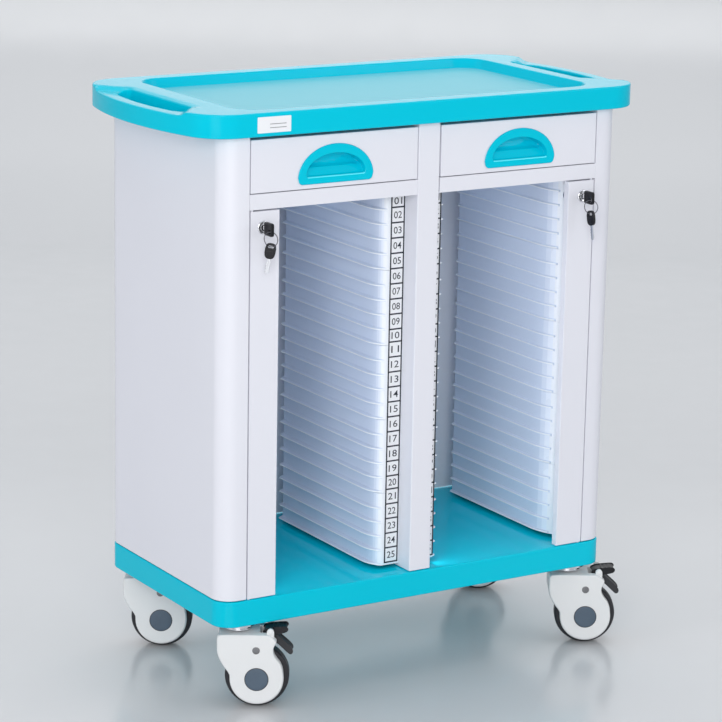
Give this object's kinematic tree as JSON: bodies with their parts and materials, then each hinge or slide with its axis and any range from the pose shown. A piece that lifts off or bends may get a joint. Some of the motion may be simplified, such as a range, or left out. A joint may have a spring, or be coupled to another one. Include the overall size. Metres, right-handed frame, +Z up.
{
  "type": "patient file trolley",
  "caption": "Steel ward trolley with ribbed file columns behind hinged locking bars, shallow drawers above them, a moulded tray top with side grips and braked swivel casters.",
  "frame": {"origin": "on the floor, under the middle of the cart", "axes": "+X to the right seen from the front, +Y to the rear, +Z up; the drawers and file columns face -Y"},
  "size_m": [0.84, 0.4319, 0.932],
  "materials": {
    "white_steel": "white powder coat with a faint lavender cast, fine orange peel",
    "turquoise_moulding": "glossy moulded turquoise plastic",
    "clear_plastic": "frosted translucent moulding, smooth",
    "label_card": "printed white label behind a clear film",
    "zinc_steel": "zinc-plated steel",
    "chrome": "polished plating",
    "black_plastic": "black moulded plastic over a steel blade",
    "white_abs": "white moulded plastic",
    "tyre": "smooth dark tread",
    "cap_grey": "blue-grey moulded cap",
    "pedal_grey": "dark grey moulded plastic"
  },
  "bodies": {
    "root": {"base_tray": "turquoise_moulding", "top_tray": "turquoise_moulding", "back_panel": "white_steel", "centre_partition": "white_steel", "left_side_panel": "white_steel", "left_cross_rail": "white_steel", "left_drawer_shelf": "white_steel", "left_drawer_runner_inner": "zinc_steel", "left_drawer_runner_outer": "zinc_steel", "left_column_inner_slots": "clear_plastic", "left_column_outer_slots": "clear_plastic", "left_label_strip": "label_card", "right_side_panel": "white_steel", "right_cross_rail": "white_steel", "right_drawer_shelf": "white_steel", "right_drawer_runner_inner": "zinc_steel", "right_drawer_runner_outer": "zinc_steel", "right_column_inner_slots": "clear_plastic", "right_column_outer_slots": "clear_plastic", "right_label_strip": "label_card", "front_left_caster_mount": "chrome", "rear_left_caster_mount": "chrome", "front_right_caster_mount": "chrome", "rear_right_caster_mount": "chrome"},
    "left_drawer": {"left_drawer_front": "white_steel", "left_drawer_box": "white_steel", "left_drawer_pull": "turquoise_moulding"},
    "left_bar": {"left_locking_bar": "white_steel", "left_lock_barrel": "chrome"},
    "left_lock": {"left_lock_plug": "chrome", "left_lock_key": "black_plastic"},
    "left_ring": {"left_key_ring": "chrome"},
    "left_spare": {"left_spare_key": "black_plastic"},
    "right_drawer": {"right_drawer_front": "white_steel", "right_drawer_box": "white_steel", "right_drawer_pull": "turquoise_moulding"},
    "right_bar": {"right_locking_bar": "white_steel", "right_lock_barrel": "chrome"},
    "right_lock": {"right_lock_plug": "chrome", "right_lock_key": "black_plastic"},
    "right_ring": {"right_key_ring": "chrome"},
    "right_spare": {"right_spare_key": "black_plastic"},
    "front_left_caster_swivel": {"front_left_caster_fork": "white_abs", "front_left_caster_axle": "cap_grey"},
    "front_left_caster_wheel": {"front_left_caster_tyre": "tyre", "front_left_caster_hub": "white_abs"},
    "front_left_caster_brake": {"front_left_caster_pedal": "pedal_grey"},
    "rear_left_caster_swivel": {"rear_left_caster_fork": "white_abs", "rear_left_caster_axle": "cap_grey"},
    "rear_left_caster_wheel": {"rear_left_caster_tyre": "tyre", "rear_left_caster_hub": "white_abs"},
    "front_right_caster_swivel": {"front_right_caster_fork": "white_abs", "front_right_caster_axle": "cap_grey"},
    "front_right_caster_wheel": {"front_right_caster_tyre": "tyre", "front_right_caster_hub": "white_abs"},
    "front_right_caster_brake": {"front_right_caster_pedal": "pedal_grey"},
    "rear_right_caster_swivel": {"rear_right_caster_fork": "white_abs", "rear_right_caster_axle": "cap_grey"},
    "rear_right_caster_wheel": {"rear_right_caster_tyre": "tyre", "rear_right_caster_hub": "white_abs"}
  },
  "joints": [
    {"name": "left_drawer_slide", "type": "slide", "parent": "root", "child": "left_drawer", "axis": [0, -1, 0], "range_m": [0, 0.25]},
    {"name": "left_bar_hinge", "type": "hinge", "parent": "root", "child": "left_bar", "pos_m": [-0.3102, -0.1865, 0.48], "axis": [0, 0, -1], "range_deg": [0, 95]},
    {"name": "left_key_turn", "type": "hinge", "parent": "left_bar", "child": "left_lock", "pos_m": [-0.2925, -0.19, 0.758], "axis": [0, -1, 0], "range_deg": [0, 90]},
    {"name": "left_ring_swing", "type": "hinge", "parent": "left_lock", "child": "left_ring", "pos_m": [-0.2925, -0.214, 0.755], "axis": [0.8191, 0.5736, 0], "range_deg": [-40, 15]},
    {"name": "left_spare_key_swing", "type": "hinge", "parent": "left_ring", "child": "left_spare", "pos_m": [-0.2925, -0.214, 0.737], "axis": [0.8191, 0.5736, 0], "range_deg": [-40, 10]},
    {"name": "right_drawer_slide", "type": "slide", "parent": "root", "child": "right_drawer", "axis": [0, -1, 0], "range_m": [0, 0.25]},
    {"name": "right_bar_hinge", "type": "hinge", "parent": "root", "child": "right_bar", "pos_m": [0.3102, -0.1865, 0.48], "axis": [0, 0, 1], "range_deg": [0, 95]},
    {"name": "right_key_turn", "type": "hinge", "parent": "right_bar", "child": "right_lock", "pos_m": [0.2925, -0.19, 0.758], "axis": [0, 1, 0], "range_deg": [0, 90]},
    {"name": "right_ring_swing", "type": "hinge", "parent": "right_lock", "child": "right_ring", "pos_m": [0.2925, -0.214, 0.755], "axis": [0.8191, 0.5736, 0], "range_deg": [-40, 15]},
    {"name": "right_spare_key_swing", "type": "hinge", "parent": "right_ring", "child": "right_spare", "pos_m": [0.2925, -0.214, 0.737], "axis": [0.8191, 0.5736, 0], "range_deg": [-40, 10]},
    {"name": "front_left_caster_swivel", "type": "hinge", "parent": "root", "child": "front_left_caster_swivel", "pos_m": [-0.312, -0.159, 0.129], "axis": [0, 0, 1], "continuous": true},
    {"name": "front_left_caster_roll", "type": "hinge", "parent": "front_left_caster_swivel", "child": "front_left_caster_wheel", "pos_m": [-0.28648, -0.17476, 0.05], "axis": [0.5255, 0.8508, 0], "continuous": true},
    {"name": "front_left_caster_brake_press", "type": "hinge", "parent": "front_left_caster_swivel", "child": "front_left_caster_brake", "pos_m": [-0.26861, -0.1858, 0.117], "axis": [0.5255, 0.8508, 0], "range_deg": [0, 10]},
    {"name": "rear_left_caster_swivel", "type": "hinge", "parent": "root", "child": "rear_left_caster_swivel", "pos_m": [-0.312, 0.159, 0.129], "axis": [0, 0, 1], "continuous": true},
    {"name": "rear_left_caster_roll", "type": "hinge", "parent": "rear_left_caster_swivel", "child": "rear_left_caster_wheel", "pos_m": [-0.28648, 0.14324, 0.05], "axis": [0.5255, 0.8508, 0], "continuous": true},
    {"name": "front_right_caster_swivel", "type": "hinge", "parent": "root", "child": "front_right_caster_swivel", "pos_m": [0.312, -0.159, 0.129], "axis": [0, 0, 1], "continuous": true},
    {"name": "front_right_caster_roll", "type": "hinge", "parent": "front_right_caster_swivel", "child": "front_right_caster_wheel", "pos_m": [0.33752, -0.17476, 0.05], "axis": [0.5255, 0.8508, 0], "continuous": true},
    {"name": "front_right_caster_brake_press", "type": "hinge", "parent": "front_right_caster_swivel", "child": "front_right_caster_brake", "pos_m": [0.35539, -0.1858, 0.117], "axis": [0.5255, 0.8508, 0], "range_deg": [0, 10]},
    {"name": "rear_right_caster_swivel", "type": "hinge", "parent": "root", "child": "rear_right_caster_swivel", "pos_m": [0.312, 0.159, 0.129], "axis": [0, 0, 1], "continuous": true},
    {"name": "rear_right_caster_roll", "type": "hinge", "parent": "rear_right_caster_swivel", "child": "rear_right_caster_wheel", "pos_m": [0.33752, 0.14324, 0.05], "axis": [0.5255, 0.8508, 0], "continuous": true}
  ]
}
